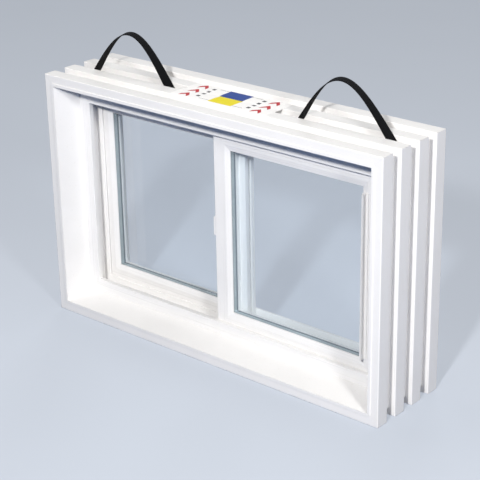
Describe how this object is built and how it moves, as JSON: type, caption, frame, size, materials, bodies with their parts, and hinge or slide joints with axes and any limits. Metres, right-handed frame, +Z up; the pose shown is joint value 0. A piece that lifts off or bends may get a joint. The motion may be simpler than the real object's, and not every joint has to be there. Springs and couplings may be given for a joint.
{
  "type": "basement sliding window in a cast-in ribbed frame",
  "caption": "White sliding window with a fixed and a sliding sash, set deep in a ribbed plastic frame for a poured wall, with webbing lifting straps on top.",
  "frame": {"origin": "middle of the underside of the whole part", "axes": "+X along the width, to the right seen from the room side; the room side faces -Y; +Z up"},
  "size_m": [0.864, 0.203, 0.6318],
  "materials": {
    "frame_white": "satin white rigid vinyl",
    "sash_white": "smooth white rigid vinyl",
    "glass": "clear float glass",
    "spacer_metal": "dull rolled strip",
    "glide_nylon": "moulded nylon",
    "webbing": "black woven webbing",
    "label_paper": "coated white label"
  },
  "bodies": {
    "root": {"wall_frame_sill": "frame_white", "wall_frame_head": "frame_white", "wall_frame_left_jamb": "frame_white", "wall_frame_right_jamb": "frame_white", "front_trim_bead": "frame_white", "unit_sill": "sash_white", "unit_head": "sash_white", "unit_left_jamb": "sash_white", "unit_right_jamb": "sash_white", "fixed_sash_bottom_rail": "sash_white", "fixed_sash_top_rail": "sash_white", "fixed_sash_outer_stile": "sash_white", "fixed_sash_meeting_stile": "sash_white", "sliding_sash_bottom_rail": "sash_white", "sliding_sash_top_rail": "sash_white", "sliding_sash_meeting_stile": "sash_white", "sliding_sash_closing_stile": "sash_white", "fixed_glazing_beads": "sash_white", "fixed_panes": "glass", "fixed_spacer_bar": "spacer_metal", "fixed_sash_glides": "glide_nylon", "sliding_glazing_beads": "sash_white", "sliding_panes": "glass", "sliding_spacer_bar": "spacer_metal", "sliding_sash_glides": "glide_nylon", "sash_latch": "sash_white", "sash_pull_rail": "sash_white", "left_lifting_strap": "webbing", "right_lifting_strap": "webbing", "top_label": "label_paper"}
  },
  "joints": []
}
